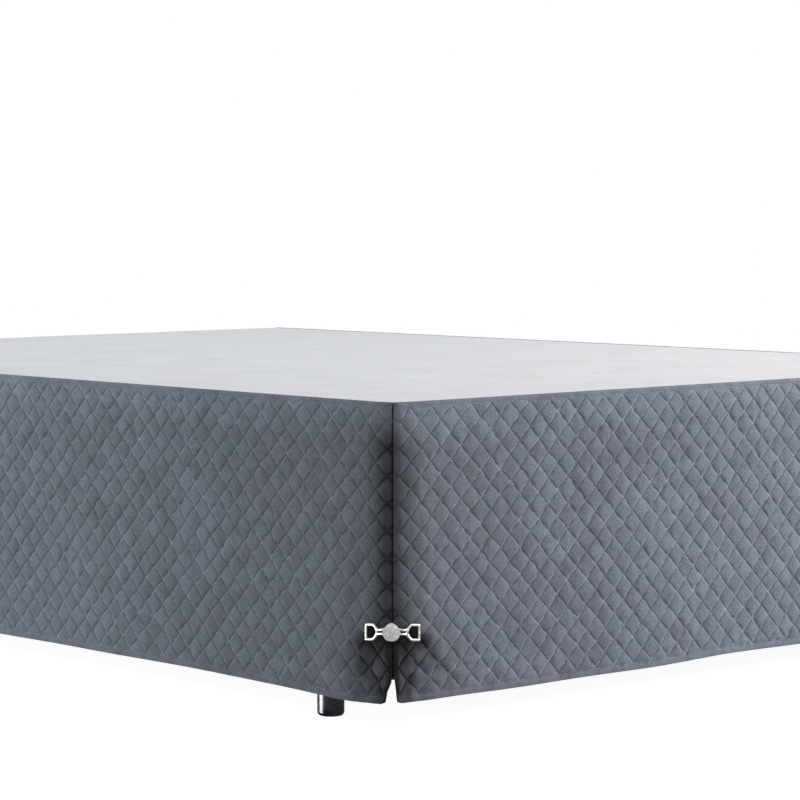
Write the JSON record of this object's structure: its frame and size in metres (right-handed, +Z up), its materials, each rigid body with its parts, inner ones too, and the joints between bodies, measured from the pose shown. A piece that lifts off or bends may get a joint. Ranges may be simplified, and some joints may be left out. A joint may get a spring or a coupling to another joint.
{
  "type": "bed skirt on a box bed base",
  "caption": "Quilted bed skirt with side and foot panels hanging from a plain deck over a box bed base, split at the foot corners and closed there by metal fasteners.",
  "frame": {"origin": "on the floor, under the centre of the whole object's box", "axes": "+X across the bed, +Y along the bed towards the head, +Z up; the foot panel looks towards -Y"},
  "size_m": [1.4082, 1.8941, 0.448],
  "materials": {
    "skirt_cloth": "slate grey-blue brushed cloth quilted in small diamonds",
    "deck_cloth": "plain off-white cloth",
    "base_cloth": "plain near-black upholstery cloth",
    "foot_metal": "dark polished chrome",
    "buckle_metal": "soft silver, pewter-like cast metal",
    "tab_cloth": "black tab cloth"
  },
  "bodies": {
    "root": {"panel_left": "skirt_cloth", "panel_foot": "skirt_cloth", "panel_right": "skirt_cloth", "deck": "deck_cloth", "base": "base_cloth", "foot_front_left": "foot_metal", "foot_front_right": "foot_metal", "foot_back_left": "foot_metal", "foot_back_right": "foot_metal", "buckle_left": "buckle_metal", "buckle_right": "buckle_metal", "tab_left_a": "tab_cloth", "tab_left_b": "tab_cloth", "tab_right_a": "tab_cloth", "tab_right_b": "tab_cloth"}
  },
  "joints": []
}
